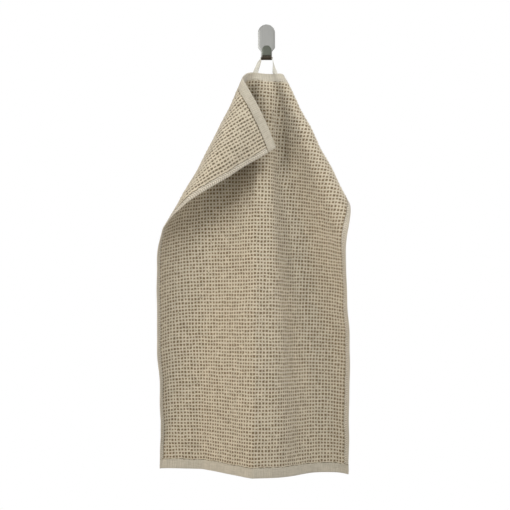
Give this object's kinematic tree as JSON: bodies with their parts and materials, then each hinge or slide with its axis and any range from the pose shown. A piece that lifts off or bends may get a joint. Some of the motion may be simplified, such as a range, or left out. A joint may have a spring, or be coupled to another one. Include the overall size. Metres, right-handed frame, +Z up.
{
  "type": "hand towel and wall hook",
  "caption": "Waffle-weave hand towel hanging by a sewn tape loop from a bent steel wall hook, top corners folded forward and back, for drying hands.",
  "frame": {"origin": "middle of the hook plate's back face, which lies on the wall", "axes": "+Z up, +Y into the wall, +X to the right as seen from the room; the wall is the plane y = 0"},
  "size_m": [0.3356, 0.1138, 0.7903],
  "materials": {
    "waffle_cotton": "waffle-woven cotton, matt, stone beige with darker cells",
    "cotton_tape": "flat woven ivory tape, matt",
    "brushed_steel": "brushed, mid grey"
  },
  "bodies": {
    "root": {"towel": "waffle_cotton", "hanging_loop": "cotton_tape", "wall_hook": "brushed_steel"}
  },
  "joints": []
}
